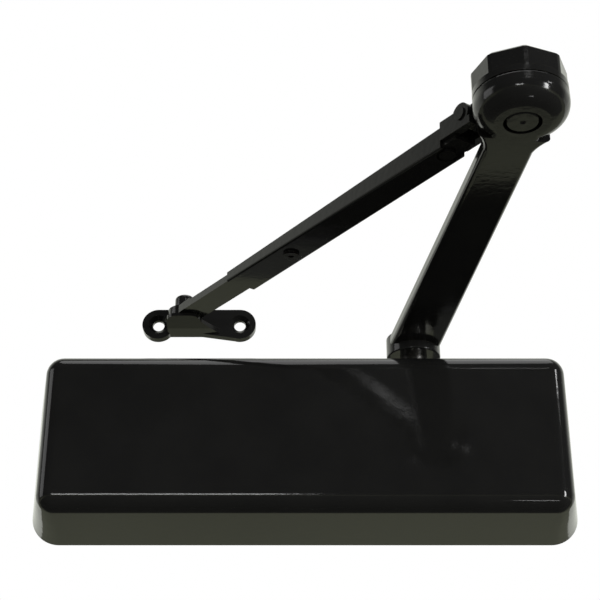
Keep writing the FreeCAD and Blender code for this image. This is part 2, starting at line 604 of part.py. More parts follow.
def make_piston():
    blank = cylinder("PistonBlank", "bore_radius - running_gap", "piston_right - piston_left",
                     ("piston_left", "-axis_depth", "0"), "X")
    slot = box("PistonSlot",
               ("pinion_offset - pinion_tip - slot_margin", "-axis_depth - pinion_tip - root_gap",
                "-bore_radius - 1"),
               ("slot_right", "-axis_depth + pinion_tip + root_gap", "bore_radius + 1"))
    passage = cylinder("CheckPassage", "check_ball_radius - check_seat_step", "piston_head + 2",
                       ("piston_left - 1", "-axis_depth", "0"), "X")
    chamber = cylinder("CheckChamber", "check_hole_radius", "check_depth + 1",
                       ("piston_left - 1", "-axis_depth", "0"), "X")
    half_height = size("rack_half_height")
    teeth = [face.extrude(App.Vector(0, 0, 2 * half_height)) for face in rack_teeth()]
    rack = solid_of("RackTeeth", Part.makeCompound(teeth))
    rack.Placement = App.Placement(pinion_place.add(App.Vector(0, 0, -half_height)), App.Rotation())
    keep("rack_piston", join("RackPiston", cut("PistonBody", blank, slot, passage, chamber), rack))

    ball = doc.addObject("Part::Sphere", "CheckBall")
    bind(ball, Radius="check_ball_radius")
    lift = "sqrt(check_ball_radius ^ 2 - (check_ball_radius - check_seat_step) ^ 2)"
    keep("check_valve_ball", put(ball, (f"piston_left + check_depth - {lift}", "-axis_depth", "0")))
    plug = cylinder("CheckPlug", "check_hole_radius", "check_plug_length",
                    ("piston_left", "-axis_depth", "0"), "X")
    hole = cylinder("CheckPlugHole", "check_ball_radius / 2", "check_plug_length + 2",
                    ("piston_left - 1", "-axis_depth", "0"), "X")
    keep("check_valve_retainer", cut("CheckRetainer", plug, hole))


def make_spring():
    """A round-wire compression spring between the spring seat and the piston."""
    wire = size("spring_wire_radius")
    coil = size("bore_radius") - size("spring_gap") - wire
    left = size("seat_left") + size("seat_thickness") + 0.05
    length = size("piston_left") - 0.05 - left - 2 * wire
    turns = round(length / size("spring_pitch"))
    path = Part.makeHelix(length / turns, length, coil)
    section = Part.Wire(Part.makeCircle(wire, App.Vector(coil, 0, 0), App.Vector(0, 1, 0)))
    shell = Part.BRepOffsetAPI.MakePipeShell(Part.Wire(path.Edges))
    shell.setFrenetMode(True)
    shell.add(section)
    shell.build()
    shell.makeSolid()
    spring = solid_of("Spring", shell.shape())
    keep("main_spring", spring, App.Placement(App.Vector(left + wire, -size("axis_depth"), 0), TURNS["X"]))


def make_spring_adjuster():
    at = ("seat_left", "-axis_depth", "0")
    disc = cylinder("SeatDisc", "bore_radius - spring_gap", "seat_thickness", at, "X")
    guide_radius = "bore_radius - spring_gap - 2 * spring_wire_radius - 1"
    guide = cone("SeatGuide", guide_radius, guide_radius + " - 1.5", "seat_thickness * 2", at, "X")
    hole = cylinder("SeatHole", "power_screw_radius + running_gap", "seat_thickness * 3",
                    ("seat_left - 1", at[1], at[2]), "X")
    keep("spring_seat", cut("SpringSeat", join("SeatBlank", disc, guide), hole))
    head_at = ("-body_left - plug_flange - power_head_height", "-axis_depth", "0")
    head = cylinder("PowerHead", "power_head_radius", "power_head_height", head_at, "X")
    shank = cylinder("PowerShank", "power_screw_radius",
                     "power_head_height + plug_flange + plug_length + power_screw_reach", head_at, "X")
    socket = prism("PowerSocket", 6, "power_key_width", "key_socket_depth + 1",
                   (head_at[0] + " - 1", "-axis_depth", "0"), "X")
    keep("power_adjust_screw", cut("PowerScrew", join("PowerBlank", head, shank), socket))


def plug_profile(bore):
    """Half section of an end plug: thread, ring groove and flange, from the inner face outwards."""
    groove = "plug_length / 2 - seal_ring_radius - 0.1"
    groove_end = "plug_length / 2 + seal_ring_radius + 0.1"
    floor = "bore_radius - 2 * seal_ring_radius - 0.05"
    top = "plug_length + plug_flange"
    return [(bore, "0"), ("bore_radius", "0"), ("bore_radius", groove), (floor, groove), (floor, groove_end),
            ("bore_radius", groove_end), ("bore_radius", "plug_length"), ("plug_flange_radius", "plug_length"),
            ("plug_flange_radius", f"{top} - plug_bevel"), ("plug_flange_radius - plug_bevel", top), (bore, top)]


def make_end_plugs():
    bored = turned("SpringEndPlug", plug_profile("power_screw_radius + running_gap"),
                   ("-body_left + plug_length", "-axis_depth", "0"), "-X")
    keep("spring_end_plug", bored)
    face = ("body_right - plug_length", "-axis_depth", "0")
    solid = turned("FrontEndPlugBlank", plug_profile("0"), face, "X")
    socket = prism("PlugSocket", 6, "2 * key_socket_radius", "key_socket_depth + 1",
                   ("body_right + plug_flange - key_socket_depth", "-axis_depth", "0"), "X")
    keep("front_end_plug", cut("FrontEndPlug", solid, socket))
    rings = [ring("PlugRing", "bore_radius - seal_ring_radius", "seal_ring_radius",
                  (x, "-axis_depth", "0"), "X") for x in ("-body_left + plug_length / 2", "body_right - plug_length / 2")]
    keep("end_plug_seals", join("PlugRings", *rings))


# ---------------------------------------------------------------- regulating valves
def valve_profile():
    """Half section of a regulating valve: slotted head, stem, ring groove and pointed nose."""
    groove = "(valve_length - valve_groove_setback)"
    floor = "valve_radius + running_gap - 2 * valve_ring_radius - 0.05"
    return [("0", "0"), ("valve_head_radius - 0.4", "0"), ("valve_head_radius", "0.4"),
            ("valve_head_radius", "valve_head_height - 0.1"), ("valve_radius", "valve_head_height - 0.1"),
            ("valve_radius", f"{groove} - valve_ring_radius - 0.18"),
            (floor, f"{groove} - valve_ring_radius - 0.18"), (floor, f"{groove} + valve_ring_radius + 0.18"),
            ("valve_radius", f"{groove} + valve_ring_radius + 0.18"), ("valve_radius", "valve_length - 3"),
            ("0", "valve_length - 0.2")]


def make_valves():
    rings = []
    for number, name in ((-1, "latch_valve"), (0, "sweep_valve"), (1, "backcheck_valve")):
        y = f"-axis_depth + {number} * valve_step"
        place = ("valve_row_offset", y, "-valve_block_drop")
        blank = turned(name.title().replace("_", ""), valve_profile(), place)
        slot = box("ValveSlot",
                   ("valve_row_offset - valve_head_radius - 1", f"{y} - valve_slot_width / 2",
                    "-valve_block_drop - 1"),
                   ("valve_row_offset + valve_head_radius + 1", f"{y} + valve_slot_width / 2",
                    "-valve_block_drop + valve_slot_depth"))
        keep(name, cut("Valve", blank, slot))
        rings.append(ring("ValveRing", "valve_radius + running_gap - valve_ring_radius", "valve_ring_radius",
                          ("valve_row_offset", y, "-valve_block_drop + valve_length - valve_groove_setback")))
    keep("valve_seals", join("ValveRings", *rings))


# ---------------------------------------------------------------- main arm and its screw
def make_arm_webs():
    """The two hollow-sided webs that lead from the bar's edges into the elbow's dome."""
    half = "(arm_tip_width / 2)"
    back = f"sqrt((dome_radius + web_radius) ^ 2 - ({half} + web_radius) ^ 2)"
    share = "(dome_radius / (dome_radius + web_radius))"
    blank = box("WebBlank",
                (f"arm_length - {back}", f"-({half} + web_radius) * {share}", "arm_level"),
                (f"arm_length - {back} * {share}", f"({half} + web_radius) * {share}", "arm_top"))
    hollows = [cylinder("WebHollow", "web_radius", THROUGH,
                        (f"arm_length - {back}", f"{side}({half} + web_radius)", "arm_bottom"))
               for side in ("-", "")]
    webs = cut("ArmWebs", blank, *hollows)
    return soften("ArmWebsRounded", webs, lambda edge: size("arm_edge_radius")
                  if edge.BoundBox.ZLength < 0.1 and edge.Curve.TypeId == "Part::GeomCircle" else None)


def make_main_arm():
    bar = taper("ArmBar", "0", "arm_length", "arm_root_width", "arm_tip_width",
                ("arm_level", "arm_level"), ("arm_top", "arm_top"))
    bar = soften("ArmBarRounded", bar, lambda edge: size("arm_edge_radius")
                 if edge.BoundBox.XLength > size("arm_length") / 2 else None)
    hub = cylinder("ArmHub", "hub_radius", "arm_top - arm_bottom", ("0", "0", "arm_bottom"))
    hub = soften("ArmHubRounded", hub, lambda edge: size("hub_edge_radius")
                 if edge.BoundBox.ZLength < 0.1 else None)
    dome = cylinder("DomeBlank", "dome_radius", "dome_height", ("arm_length", "0", "dome_bottom"))

    def dome_edges(edge):
        if edge.BoundBox.ZLength > 0.1:
            return None
        return size("dome_round") if edge.BoundBox.ZMax < size("dome_top") - 1 else size("dome_rim_round")

    dome = soften("Dome", dome, dome_edges)
    elbow = ("arm_length", "0")
    holes = [
        prism("ArmSquareHole", 4, "square_side + 2 * square_gap", THROUGH, ("0", "0", "arm_bottom - 1")),
        cylinder("DomeRecess", "recess_radius", "dome_recess_depth + 1", (*elbow, "dome_bottom - 1")),
        cylinder("BushHole", "elbow_bush_radius", "dome_height + 2", (*elbow, "dome_bottom - 1")),
        cylinder("WasherPocket", "thrust_washer_radius + seam_gap", "thrust_washer_height + 5",
                 (*elbow, "washer_floor")),
    ]
    keep("main_arm", cut("MainArm", join("ArmBlank", bar, hub, dome, make_arm_webs()), *holes), arm_frame)


def make_arm_fasteners():
    washer = cylinder("ArmWasherDisc", "arm_washer_radius", "arm_washer_thickness", ("0", "0", "arm_top"))
    hole = cylinder("ArmWasherHole", "arm_screw_radius + arm_washer_gap", "arm_washer_thickness + 2",
                    ("0", "0", "arm_top - 1"))
    keep("arm_washer", cut("ArmWasher", washer, hole), arm_frame)
    head_bottom = "arm_top + arm_washer_thickness"
    head = cylinder("ArmScrewHead", "arm_screw_head_radius", "arm_screw_head_height", ("0", "0", head_bottom))
    shank = cylinder("ArmScrewShank", "arm_screw_radius", "arm_screw_depth + arm_washer_thickness",
                     ("0", "0", "arm_top - arm_screw_depth"))
    socket = prism("ArmScrewSocket", 6, "arm_key_width", "arm_key_depth + 1",
                   ("0", "0", f"{head_bottom} + arm_screw_head_height - arm_key_depth"))
    keep("arm_screw", cut("ArmScrew", join("ArmScrewBlank", head, shank), socket), arm_frame)


# ---------------------------------------------------------------- elbow
def make_elbow():
    elbow = ("arm_length", "0")
    bush = cylinder("ElbowBushBody", "elbow_bush_radius", "washer_floor - recess_top", (*elbow, "recess_top"))
    hole = cylinder("ElbowBushHole", "elbow_stud_radius + pin_gap", THROUGH, (*elbow, "recess_top - 1"))
    keep("elbow_bush", cut("ElbowBush", bush, hole), arm_frame)

    journal = cylinder("ElbowStudJournal", "elbow_stud_radius", "stud_top - nut_top", ("0", "0", "nut_top"))
    thread = cylinder("ElbowStudThread", "elbow_thread_radius", "stud_top - nut_bottom - nut_floor",
                      ("0", "0", "nut_bottom + nut_floor"))
    keep("elbow_stud", join("ElbowStud", journal, thread), elbow_frame)
    nut = cylinder("ElbowNutBody", "elbow_nut_radius", "elbow_nut_height", ("0", "0", "nut_bottom"))
    nut = soften("ElbowNutBevelled", nut, lambda edge: size("nut_bevel")
                 if edge.BoundBox.ZMax < size("nut_bottom") + 0.1 else None, "Part::Chamfer")
    hole = cylinder("ElbowNutHole", "elbow_thread_radius", "elbow_nut_height",
                    ("0", "0", "nut_bottom + nut_floor"))
    dimple = cone("ElbowNutDimple", "nut_dimple_radius", "nut_dimple_radius / 3", "nut_floor / 2 + 0.1",
                  ("0", "0", "nut_bottom - 0.1"))
    keep("elbow_nut", cut("ElbowNut", nut, hole, dimple), elbow_frame)
    disc = cone("SpringWasherBody", "elbow_bush_radius - 1", "elbow_bush_radius + 0.4", "spring_washer_height",
                ("0", "0", "washer_bottom"))
    hole = cylinder("SpringWasherHole", "elbow_stud_radius + washer_bore_gap", "spring_washer_height + 2",
                    ("0", "0", "washer_bottom - 1"))
    keep("elbow_spring_washer", cut("SpringWasher", disc, hole), elbow_frame)
    disc = cylinder("ThrustWasherBody", "thrust_washer_radius", "thrust_washer_height + seam_gap",
                    ("0", "0", "dome_top - thrust_washer_height"))
    hole = cylinder("ThrustWasherHole", "elbow_stud_radius + washer_bore_gap", "thrust_washer_height + 3",
                    ("0", "0", "dome_top - thrust_washer_height - 1"))
    keep("elbow_thrust_washer", cut("ThrustWasher", disc, hole), elbow_frame)


def make_elbow_cap():
    radius = "(dome_radius - cap_step)"
    band = cylinder("CapBand", radius, "cap_band_height", ("0", "0", "cap_bottom"))
    rise = "cap_top - cap_bottom - cap_band_height"
    base = ("0", "0", "cap_bottom + cap_band_height")
    octagon = prism("CapOctagon", 8, "2 * (dome_radius - cap_flat_depth)", rise, base)
    turn = App.Rotation(App.Vector(0, 0, 1), size("cap_turn"))
    octagon.Placement = App.Placement(octagon.Placement.Base, turn)
    doc.recompute()
    octagon = soften("CapOctagonBevelled", octagon, lambda edge: size("cap_chamfer")
                     if edge.BoundBox.ZMin > size("cap_top") - 0.1 else None, "Part::Chamfer")
    drum = soften("CapDrumBevelled", cylinder("CapDrum", radius, rise, base), lambda edge: size("cap_chamfer")
                  if edge.BoundBox.ZMin > size("cap_top") - 0.1 else None, "Part::Chamfer")
    crown = shared("CapCrown", octagon, drum)
    lug_bottom = "knuckle_level - lug_drop"
    root = box("CapLugRoot", ("dome_radius / 2", "-lug_root_width / 2", lug_bottom),
               ("dome_radius + lug_root_length", "lug_root_width / 2", f"{lug_bottom} + lug_root_rise"))
    lug = box("CapLug", ("dome_radius / 2", "-lug_width / 2", lug_bottom),
              ("knuckle_distance", "lug_width / 2", "knuckle_level + lug_radius"))
    lug_end = cylinder("CapLugEnd", "lug_radius", "lug_width",
                       ("knuckle_distance", "-lug_width / 2", "knuckle_level"), "Y")
    pin_hole = cylinder("CapPinHole", "knuckle_pin_radius + pin_gap", "lug_width + 2",
                        ("knuckle_distance", "-lug_width / 2 - 1", "knuckle_level"), "Y")
    stud_hole = cylinder("CapStudHole", "elbow_stud_radius", "stud_top - cap_bottom + 1",
                         ("0", "0", "cap_bottom - 1"))
    blank = join("CapBlank", band, crown, root, lug, lug_end)
    keep("elbow_cap", cut("ElbowCap", blank, pin_hole, stud_hole), elbow_frame)


# ---------------------------------------------------------------- knuckle
def make_knuckle():
    solids = []
    ear_bottom = "knuckle_level - ear_drop"
    heel_top = "knuckle_level + heel_rise"
    heel_end = "channel_start - 1"
    for low, high in (("-ear_outside", "-ear_inside"), ("ear_inside", "ear_outside")):
        solids.append(cylinder("Ear", "ear_radius", "ear_thickness",
                               ("knuckle_distance", low, "knuckle_level"), "Y"))
        solids.append(box("EarArm", ("knuckle_distance", low, ear_bottom), (heel_end, high, heel_top)))
        solids.append(box("EarFoot", ("knuckle_distance - ear_foot", low, ear_bottom),
                          ("knuckle_distance + 1", high, f"{ear_bottom} + ear_foot_height")))
    heel = "knuckle_distance + lug_radius + 1"
    solids.append(box("KnuckleHeel", (heel, "-ear_outside", ear_bottom), (heel_end, "ear_outside", heel_top)))
    shank_half = "(channel_start_width / 2 - channel_wall)"
    solids.append(box("KnuckleShank", (heel, f"-{shank_half}", "channel_floor"),
                      ("shank_end", shank_half, "shank_top")))
    pin_hole = cylinder("EarPinHole", "knuckle_pin_radius", "2 * ear_outside + 2",
                        ("knuckle_distance", "-ear_outside - 1", "knuckle_level"), "Y")
    rivet_hole = cylinder("RivetHole", "rivet_radius", THROUGH, ("rivet_distance", "0", "channel_bottom - 5"))
    lug_room = cylinder("LugRoom", "lug_radius + knuckle_tilt_room", "2 * ear_inside",
                        ("knuckle_distance", "-ear_inside", "knuckle_level"), "Y")
    blank = join("KnuckleBlank", *solids)
    keep("forearm_knuckle", cut("Knuckle", blank, pin_hole, rivet_hole, lug_room), forearm_frame)

    pin_end = "(ear_outside + knuckle_pin_head)"
    pin = cylinder("KnucklePinBody", "knuckle_pin_radius", f"2 * {pin_end}",
                   ("knuckle_distance", f"-{pin_end}", "knuckle_level"), "Y")
    heads = [cylinder("KnucklePinHead", "knuckle_pin_head_radius", "knuckle_pin_head",
                      ("knuckle_distance", y, "knuckle_level"), "Y") for y in (f"-{pin_end}", "ear_outside")]
    keep("knuckle_pin", join("KnucklePin", pin, *heads), forearm_frame)

    shank = cylinder("RivetShank", "rivet_radius", "shank_top - channel_floor + 1",
                     ("rivet_distance", "0", "channel_floor"))
    low_head = cylinder("RivetLowHead", "rivet_head_radius", "channel_wall",
                        ("rivet_distance", "0", "channel_bottom"))
    top_head = cylinder("RivetTopHead", "rivet_head_radius", "channel_wall", ("rivet_distance", "0", "shank_top"))
    keep("knuckle_rivet", join("Rivet", shank, low_head, top_head), forearm_frame)


# ---------------------------------------------------------------- forearm
def channel_width(distance):
    """The forearm channel's outside width at a distance from the elbow."""
    return (f"(channel_start_width + (channel_end_width - channel_start_width) * ({distance} - channel_start)"
            " / (channel_end - channel_start))")


def make_channel():
    outside = taper("ChannelOutside", "channel_start", "channel_end", "channel_start_width", "channel_end_width",
                    ("channel_bottom", "channel_bottom"),
                    ("channel_bottom + channel_start_height", "channel_bottom + channel_end_height"))
    outside = soften("ChannelRounded", outside, lambda edge: size("channel_edge_radius")
                     if edge.BoundBox.XLength > 50 and edge.BoundBox.ZMax < size("channel_bottom") + 0.1
                     else None)
    inside = taper("ChannelInside", "channel_start - 1", "channel_end + 1",
                   f"{channel_width('channel_start - 1')} - 2 * channel_wall",
                   f"{channel_width('channel_end + 1')} - 2 * channel_wall",
                   ("channel_floor", "channel_floor"), (f"channel_floor + {THROUGH}",) * 2)
    notch = cylinder("ChannelNotch", "boss_notch_radius", "channel_wall + 2",
                     ("rivet_distance", "0", "channel_bottom - 1"))
    mouth = box("ChannelMouth", ("channel_start - 1", "-boss_notch_radius", "channel_bottom - 1"),
                ("rivet_distance", "boss_notch_radius", "channel_floor + 1"))
    clamp_hole = cylinder("ChannelClampHole", "clamp_screw_radius", "channel_wall + 2",
                          ("clamp_distance", "0", "channel_bottom - 1"))
    keep("forearm_channel", cut("Channel", outside, inside, notch, mouth, clamp_hole), forearm_frame)


def make_bar():
    inset = "2 * (channel_wall + bar_side_gap)"
    end_width = f"(channel_end_width - {inset})"
    tail = taper("BarTail", "bar_tail", "channel_end", f"{channel_width('bar_tail')} - {inset}", end_width,
                 ("bar_bottom", "bar_bottom"), ("bar_top", "bar_top"))
    front = box("BarFront", ("channel_end - 0.01", f"-{end_width} / 2", "bar_bottom"),
                ("bar_tip", f"{end_width} / 2", "bar_top"))
    slot_ends = ("clamp_distance - bar_travel_out", "clamp_distance + bar_travel_in")
    half = "(clamp_screw_radius + clamp_gap)"
    slot = box("BarSlot", (slot_ends[0], f"-{half}", "bar_bottom - 1"), (slot_ends[1], half, "bar_top + 1"))
    rounds = [cylinder("BarSlotEnd", half, "bar_thickness + 2", (x, "0", "bar_bottom - 1")) for x in slot_ends]
    bar = cut("BarSlotted", join("BarBlank", tail, front), slot, *rounds)
    bar.Placement = rise_turn

    eye = cylinder("Eye", "eye_radius", "eye_thickness", ("forearm_reach", "0", "eye_bottom"))
    neck = box("EyeNeck", ("bar_tip - 6", f"-{end_width} / 2", "eye_bottom"),
               ("forearm_reach", f"{end_width} / 2", "eye_bottom + eye_thickness - eye_neck_step"))
    hole = cylinder("EyeHole", "shoe_stud_radius + pin_gap", "eye_thickness + 2",
                    ("forearm_reach", "0", "eye_bottom - 1"))
    keep("forearm_bar", cut("Bar", join("BarWithEye", bar, eye, neck), hole), elbow_frame)


def make_clamp():
    nut_bottom = "(bar_top + bar_gap)"
    head_bottom = "channel_bottom - clamp_head_height"
    head = cylinder("ClampHead", "clamp_head_radius", "clamp_head_height", ("clamp_distance", "0", head_bottom))
    shank_length = f"{nut_bottom} + clamp_nut_height + 1 - channel_bottom"
    shank = cylinder("ClampShank", "clamp_screw_radius", shank_length, ("clamp_distance", "0", "channel_bottom"))
    socket = prism("ClampSocket", 6, "clamp_key_width", "2", ("clamp_distance", "0", f"{head_bottom} - 1"))
    keep("forearm_clamp_screw", cut("ClampScrew", join("ClampBlank", head, shank), socket), forearm_frame)
    nut = box("ClampNutBody", ("clamp_distance - clamp_nut_side / 2", "-clamp_nut_side / 2", nut_bottom),
              ("clamp_distance + clamp_nut_side / 2", "clamp_nut_side / 2", f"{nut_bottom} + clamp_nut_height"))
    hole = cylinder("ClampNutHole", "clamp_screw_radius", "clamp_nut_height + 2",
                    ("clamp_distance", "0", f"{nut_bottom} - 1"))
    keep("forearm_clamp_nut", cut("ClampNut", nut, hole), forearm_frame)


# ---------------------------------------------------------------- frame shoe
def wedge_from_wall(name, reach, bottoms, tops, at, half_lengths):
    """A form that stands out from the wall, with its own levels and length at the wall and at its front."""
    item = doc.addObject("Part::Wedge", name)
    bind(item, Ymin=f"-({reach})", Ymax="0", Zmin=bottoms[1], Zmax=tops[1], Z2min=bottoms[0], Z2max=tops[0])
    bind(item, Xmin=f"-({half_lengths[1]})", Xmax=half_lengths[1])
    bind(item, X2min=f"-({half_lengths[0]})", X2max=half_lengths[0])
    return put(item, at)


def make_shoe():
    half = "shoe_hole_spacing / 2"
    low = "shoe_level - shoe_lobe_radius"
    high = "shoe_level + shoe_lobe_radius"
    pivot_right = "-shoe_pivot_offset + block_half_length"
    lobes = [cylinder("ShoeLobe", "shoe_lobe_radius", "shoe_plate",
                      (f"-shoe_centre_offset + {side} * {half}", "0", "shoe_level"), "-Y") for side in (-1, 1)]
    plate = box("ShoePlate", (f"-shoe_centre_offset - {half}", "-shoe_plate", "block_bottom"),
                (f"-shoe_centre_offset + {half}", "0", high))
    skirt = taper("ShoeSkirt", pivot_right, f"-shoe_centre_offset + {half}", "2 * shoe_plate", "2 * shoe_plate",
                  ("block_bottom", low), (high, high))
    behind = box("ShoeBehind", ("-cover_length", "0", "0"), ("cover_length", "shoe_plate + 1", "2 * shoe_level"))
    block = wedge_from_wall("ShoeBlock", "block_front", ("block_bottom", "block_bottom"),
                            ("block_top", "block_top"), ("-shoe_pivot_offset", "0", "0"),
                            ("block_half_length", "block_half_length"))
    front = -size("block_front")
    block = soften("ShoeBlockRounded", block, lambda edge: size("block_corner")
                   if edge.BoundBox.ZLength > 1 and edge.BoundBox.YMax < front + 0.1 else None)
    rise = "block_undercut * (block_front + 1 - block_land) / (block_front - block_land)"
    undercut = doc.addObject("Part::Wedge", "ShoeUndercut")
    bind(undercut, Ymin="-block_front - 1", Ymax="-block_land", Zmin="0", Z2min="0",
         Zmax=f"block_bottom + {rise}", Z2max="block_bottom", Xmin="-cover_length", Xmax="0",
         X2min="-cover_length", X2max="0")
    ramp_top = "block_top - ramp_drop"
    ramp = doc.addObject("Part::Wedge", "ShoeRamp")
    bind(ramp, Xmin="0", Xmax="ramp_tip", X2min="0", X2max="ramp_length", Zmin="block_bottom",
         Z2min="block_bottom", Zmax=ramp_top, Z2max=ramp_top, Ymin="-block_front + block_corner", Ymax="0")
    put(ramp, (pivot_right, "0", "0"))
    holes = [behind, undercut,
             cylinder("StudHole", "shoe_stud_radius", THROUGH,
                      ("-shoe_pivot_offset", "-shoe_pivot_depth", "block_bottom + block_undercut"))]
    for side in (-1, 1):
        x = f"-shoe_centre_offset + {side} * {half}"
        sink = "shoe_sink_radius - shoe_hole_radius"
        holes.append(cylinder("ShoeHole", "shoe_hole_radius", "shoe_plate + 2", (x, PAST, "shoe_level"), "-Y"))
        holes.append(cone("ShoeSink", "shoe_hole_radius", "shoe_sink_radius + 1", f"{sink} + 1",
                          (x, f"-shoe_plate + {sink}", "shoe_level"), "-Y"))
    keep("frame_shoe", cut("Shoe", join("ShoeBlank", *lobes, plate, skirt, block, ramp), *holes))

    pivot = ("-shoe_pivot_offset", "-shoe_pivot_depth")
    head = cylinder("StudHead", "shoe_stud_head_radius", "shoe_stud_head_height", (*pivot, "stud_head_bottom"))
    top = size("stud_head_bottom") + 1
    head = soften("StudHeadRounded", head, lambda edge: size("shoe_stud_head_round")
                  if edge.BoundBox.ZMin > top else None)
    foot = "(block_bottom + block_undercut)"
    shank = cylinder("StudShank", "shoe_stud_radius", f"stud_head_bottom - {foot} + 0.1", (*pivot, foot))
    keep("shoe_stud", join("ShoeStud", head, shank))


# ---------------------------------------------------------------- build, check and write
for make in (make_cover, make_cover_screws, make_body, make_pinion, make_pinion_supports, make_piston,
             make_spring, make_spring_adjuster, make_end_plugs, make_valves, make_main_arm, make_arm_fasteners,
             make_elbow, make_elbow_cap, make_knuckle, make_channel, make_bar, make_clamp, make_shoe):
    make()
    doc.recompute()

for item in doc.Objects:
    if "Invalid" in item.State or "Error" in item.State:
        raise RuntimeError(f"{item.Name} ({item.Label}) failed: {item.State}")
for item in nodes:
    if item.Shape.isNull() or not item.Shape.isValid():
        raise RuntimeError(f"{item.Label} has no valid shape")

os.makedirs("parts", exist_ok=True)
for item in nodes:
    item.Shape.exportStep(f"parts/{item.Label}.step")
    print(f"{item.Label}: {len(item.Shape.Solids)} solid(s), {item.Shape.Volume:.1f} mm3")
print(f"{len(nodes)} nodes; forearm yaw {forearm_yaw:.3f}, rise {forearm_rise:.3f}")
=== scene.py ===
import bpy
import numpy as np
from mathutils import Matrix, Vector


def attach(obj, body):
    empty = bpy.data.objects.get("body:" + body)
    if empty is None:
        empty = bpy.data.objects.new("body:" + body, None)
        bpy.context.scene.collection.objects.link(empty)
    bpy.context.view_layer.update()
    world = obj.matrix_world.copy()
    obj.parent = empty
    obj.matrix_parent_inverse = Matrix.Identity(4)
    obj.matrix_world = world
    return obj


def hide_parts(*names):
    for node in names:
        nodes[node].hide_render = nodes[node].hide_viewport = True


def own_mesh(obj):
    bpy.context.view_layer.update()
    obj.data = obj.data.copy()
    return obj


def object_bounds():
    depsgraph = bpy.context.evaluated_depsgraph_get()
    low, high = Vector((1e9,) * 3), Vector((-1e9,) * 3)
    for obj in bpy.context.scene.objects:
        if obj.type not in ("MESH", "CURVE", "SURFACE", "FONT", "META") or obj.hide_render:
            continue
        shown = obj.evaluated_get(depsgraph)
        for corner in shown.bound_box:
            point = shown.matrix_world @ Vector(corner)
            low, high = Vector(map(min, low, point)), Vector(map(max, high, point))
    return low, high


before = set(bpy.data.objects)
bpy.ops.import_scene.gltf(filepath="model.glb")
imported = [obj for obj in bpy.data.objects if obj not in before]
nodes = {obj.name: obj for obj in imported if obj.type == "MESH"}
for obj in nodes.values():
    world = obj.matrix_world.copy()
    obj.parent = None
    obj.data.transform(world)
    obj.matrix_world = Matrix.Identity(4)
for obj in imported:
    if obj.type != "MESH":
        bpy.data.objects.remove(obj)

cad_low, cad_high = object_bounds()


# ---------------------------------------------------------------- cover
# The cover is one deep-drawn steel shell, sprayed with gloss black enamel and baked.
# The film flows out glassy but keeps a faint orange peel, and thins a little over the sharp rims.
# Two countersunk screws in its top hold it to the cast body.
BLACK = (0.0145, 0.0145, 0.0142, 1.0)
BLACK_THIN = (0.0175, 0.0174, 0.0168, 1.0)
PRIMER = (0.055, 0.048, 0.036, 1.0)
COVER_PEEL = 0.00003
ENAMEL_INDEX = 1.5


def wire(tree, source, target):
    """Join an output socket to an input socket."""
    tree.links.new(source, target)


def node(tree, kind, **settings):
    """A node of one kind with its properties."""
    made = tree.nodes.new(kind)
    for name, value in settings.items():
        setattr(made, name, value)
    return made


def fill(tree, made, **inputs):
    """Set or wire a node's inputs: by name, with underscores for spaces, or by number as i0, i1."""
    for name, value in inputs.items():
        key = int(name[1:]) if name[0] == "i" and name[1:].isdigit() else name.replace("_", " ")
        socket = made.inputs[key]
        if isinstance(value, bpy.types.NodeSocket):
            wire(tree, value, socket)
        else:
            socket.default_value = value
    return made


def maths(tree, operation, first, second=0.0, third=0.0):
    """One Math node; returns its output."""
    made = node(tree, "ShaderNodeMath", operation=operation)
    fill(tree, made, i0=first, i1=second, i2=third)
    return made.outputs[0]


def blend_colour(tree, share, first, second):
    """Mix two colours by a share; returns the output."""
    made = node(tree, "ShaderNodeMix", data_type="RGBA")
    fill(tree, made, i0=share, i6=first, i7=second)
    return made.outputs[2]


def ramp(tree, value, low, high, out_low=0.0, out_high=1.0):
    """A smooth step of a value between two limits; returns the output."""
    made = node(tree, "ShaderNodeMapRange", interpolation_type="SMOOTHSTEP")
    fill(tree, made, Value=value, From_Min=low, From_Max=high, To_Min=out_low, To_Max=out_high)
    return made.outputs["Result"]


def noise(tree, vector, scale, detail=2.0, roughness=0.5, distortion=0.0):
    """Noise on a position; returns its value."""
    made = node(tree, "ShaderNodeTexNoise")
    fill(tree, made, Vector=vector, Scale=scale, Detail=detail, Roughness=roughness,
         Distortion=distortion)
    return made.outputs["Fac"]


def new_group(name, inputs, outputs):
    """A shader node group with float inputs and outputs; returns the tree with its two end nodes."""
    tree = bpy.data.node_groups.new(name, "ShaderNodeTree")
    for label, value in inputs.items():
        kind = "NodeSocketVector" if isinstance(value, tuple) else "NodeSocketFloat"
        socket = tree.interface.new_socket(name=label, in_out="INPUT", socket_type=kind)
        if kind == "NodeSocketFloat":
            socket.default_value = value
    for label in outputs:
        tree.interface.new_socket(name=label, in_out="OUTPUT", socket_type="NodeSocketFloat")
    return tree, tree.nodes.new("NodeGroupInput"), tree.nodes.new("NodeGroupOutput")


